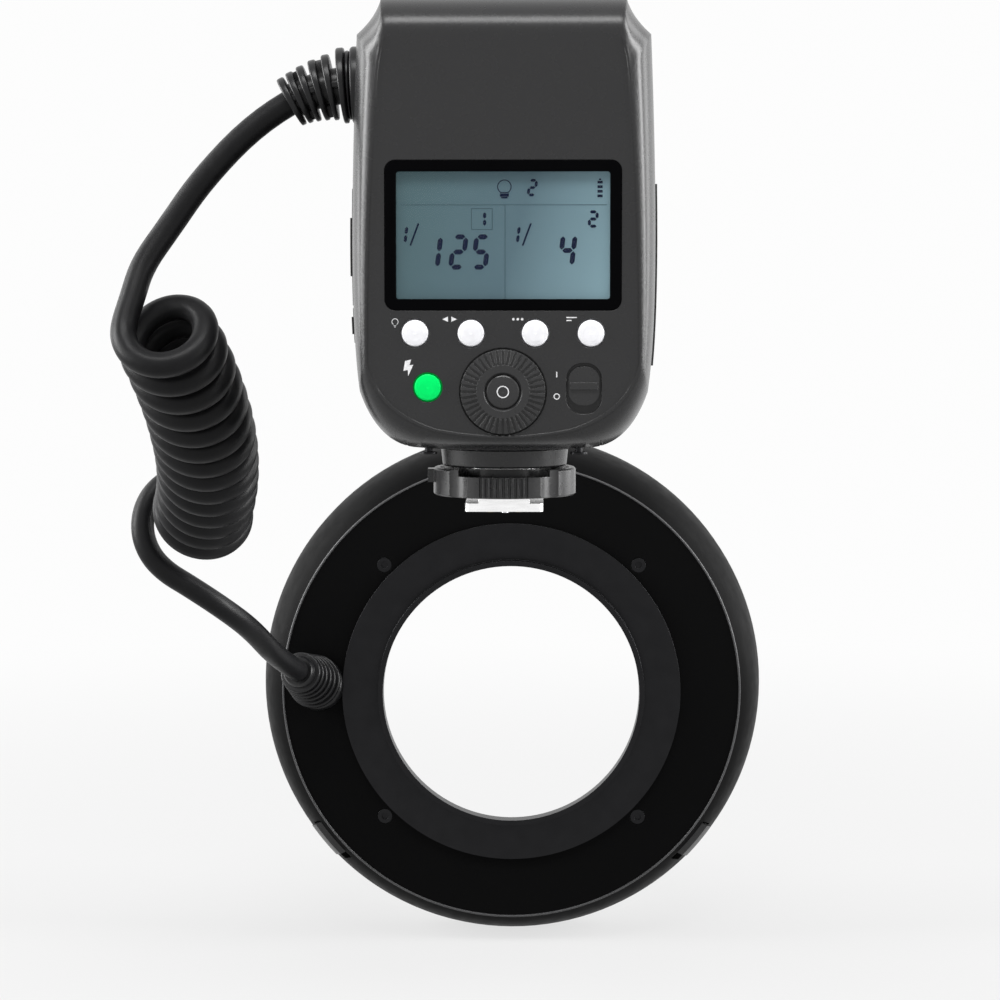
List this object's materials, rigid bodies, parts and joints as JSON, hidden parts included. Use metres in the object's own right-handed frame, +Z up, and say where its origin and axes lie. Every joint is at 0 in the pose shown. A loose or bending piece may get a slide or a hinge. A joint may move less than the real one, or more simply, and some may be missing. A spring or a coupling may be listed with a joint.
{
  "type": "macro ring flash",
  "caption": "Macro flash set: hot-shoe controller with display, buttons and dial, joined by a curly cord to a large ring-shaped flash head on a turning lens thread adapter.",
  "frame": {"origin": "middle of the underside of the hot-shoe foot, the face that rests in the camera's shoe", "axes": "+X to the right seen from behind the controller, +Y forward to the subject along the shoe's rails and the ring head's axis, +Z up"},
  "size_m": [0.1743, 0.1917, 0.2585],
  "materials": {
    "housing": "satin, fine grain",
    "gloss_frame": "gloss",
    "clear_pane": "clear",
    "display": "lit liquid crystal",
    "circuit_board": "green board",
    "screw": "plated",
    "rubber_part": "matt",
    "white_button": "satin",
    "green_button": "lit green",
    "control": "satin",
    "grey_part": "satin",
    "capacitor_sleeve": "sleeve",
    "winding": "taped winding",
    "battery_case": "satin",
    "gold_contact": "plated",
    "socket_metal": "plated",
    "red_window": "clear red",
    "lamp": "clear",
    "foot_metal": "machined",
    "spring_steel": "wire",
    "cord_jacket": "semi-gloss",
    "head_plastic": "fine grain",
    "frosted_ring": "frosted",
    "mirror_trough": "bright",
    "tube_glass": "clear",
    "adapter_metal": "black anodised"
  },
  "bodies": {
    "flash": {"rear_cover": "housing", "front_cover": "housing", "lcd_bezel": "gloss_frame", "lcd_window": "clear_pane", "lcd_module": "display", "main_board": "circuit_board", "board_screws": "screw", "button_pad": "rubber_part", "dial_encoder": "grey_part", "switch_body": "grey_part", "power_board": "circuit_board", "main_capacitor": "capacitor_sleeve", "transformer": "winding", "battery_tray": "grey_part", "battery_contacts": "gold_contact", "port_board": "circuit_board", "usb_socket": "socket_metal", "sync_socket": "socket_metal", "assist_window": "red_window", "assist_lamp": "lamp", "cover_screws": "screw", "shoe_collar": "housing", "foot_plate": "foot_metal", "contact_block": "housing", "shoe_contacts": "gold_contact", "lock_spring": "spring_steel", "strain_relief": "cord_jacket", "cord_upper": "cord_jacket", "cord_coil": "cord_jacket", "cord_lower": "cord_jacket", "ring_gland": "cord_jacket", "ring_rear_casing": "head_plastic", "ring_front_bezel": "head_plastic", "ring_front_trim": "head_plastic", "diffuser": "frosted_ring", "reflectors": "mirror_trough", "flash_tubes": "tube_glass", "tube_end_caps": "socket_metal", "modelling_lamps": "lamp", "lamp_windows": "clear_pane", "ring_board": "circuit_board", "ring_screws": "screw", "latch_pins": "screw"},
    "light_button": {"light_button": "white_button"},
    "arrow_button": {"arrow_button": "white_button"},
    "custom_button": {"custom_button": "white_button"},
    "ratio_button": {"ratio_button": "white_button"},
    "test_button": {"test_button": "green_button"},
    "dial": {"dial": "control"},
    "set_button": {"set_button": "control"},
    "power_switch": {"power_switch_knob": "grey_part"},
    "lock_lever": {"lock_lever": "control"},
    "lock_pin": {"lock_pin": "foot_metal"},
    "battery": {"battery": "battery_case"},
    "battery_latch": {"battery_latch": "control"},
    "port_cover": {"port_cover": "rubber_part"},
    "sync_cover": {"sync_cover": "rubber_part"},
    "latch_left": {"latch_left": "control"},
    "latch_right": {"latch_right": "control"},
    "adapter_ring": {"adapter_ring": "adapter_metal"}
  },
  "joints": [
    {"name": "light_button_press", "type": "slide", "parent": "flash", "child": "light_button", "axis": [0, 1, 0], "range_m": [0, 0.0008], "stiffness_N_per_m": 500},
    {"name": "arrow_button_press", "type": "slide", "parent": "flash", "child": "arrow_button", "axis": [0, 1, 0], "range_m": [0, 0.0008], "stiffness_N_per_m": 500},
    {"name": "custom_button_press", "type": "slide", "parent": "flash", "child": "custom_button", "axis": [0, 1, 0], "range_m": [0, 0.0008], "stiffness_N_per_m": 500},
    {"name": "ratio_button_press", "type": "slide", "parent": "flash", "child": "ratio_button", "axis": [0, 1, 0], "range_m": [0, 0.0008], "stiffness_N_per_m": 500},
    {"name": "test_button_press", "type": "slide", "parent": "flash", "child": "test_button", "axis": [0, 1, 0], "range_m": [0, 0.0008], "stiffness_N_per_m": 500},
    {"name": "set_button_press", "type": "slide", "parent": "flash", "child": "set_button", "axis": [0, 1, 0], "range_m": [0, 0.0008], "stiffness_N_per_m": 500},
    {"name": "dial_turn", "type": "hinge", "parent": "flash", "child": "dial", "pos_m": [0, -0.027, 0.0293], "axis": [0, 1, 0], "continuous": true},
    {"name": "power_switch_slide", "type": "slide", "parent": "flash", "child": "power_switch", "axis": [0, 0, -1], "range_m": [0, 0.0017]},
    {"name": "lock_lever_turn", "type": "hinge", "parent": "flash", "child": "lock_lever", "pos_m": [0, 0, 0.007], "axis": [0, 0, 1], "range_deg": [0, 60]},
    {"name": "lock_pin_lift", "type": "slide", "parent": "flash", "child": "lock_pin", "axis": [0, 0, 1], "range_m": [0, 0.002], "deforming": ["lock_spring"]},
    {"name": "battery_slide", "type": "slide", "parent": "flash", "child": "battery", "axis": [1, 0, 0], "range_m": [0, 0.055]},
    {"name": "battery_latch_slide", "type": "slide", "parent": "flash", "child": "battery_latch", "axis": [0, 0, 1], "range_m": [0, 0.0025], "stiffness_N_per_m": 200},
    {"name": "port_cover_swing", "type": "hinge", "parent": "flash", "child": "port_cover", "pos_m": [-0.0362, 0.008, 0.0628], "axis": [0, 0, 1], "range_deg": [-100, 0]},
    {"name": "sync_cover_swing", "type": "hinge", "parent": "flash", "child": "sync_cover", "pos_m": [-0.036, 0.008, 0.0442], "axis": [0, 0, 1], "range_deg": [-100, 0]},
    {"name": "latch_right_rock", "type": "hinge", "parent": "flash", "child": "latch_right", "pos_m": [0.05077, 0.1391, -0.091], "axis": [0, 1, 0], "range_deg": [0, 6], "stiffness_Nm_per_rad": 0.1},
    {"name": "latch_left_rock", "type": "hinge", "parent": "flash", "child": "latch_left", "pos_m": [-0.05077, 0.1391, -0.091], "axis": [0, -1, 0], "range_deg": [0, 6], "stiffness_Nm_per_rad": 0.1},
    {"name": "adapter_ring_turn", "type": "hinge", "parent": "flash", "child": "adapter_ring", "pos_m": [0, 0.1344, -0.064], "axis": [0, 1, 0], "continuous": true}
  ],
  "couplings": [
    {"joint": "lock_pin_lift", "follows": "lock_lever_turn", "m_per_rad": 0.0019}
  ]
}
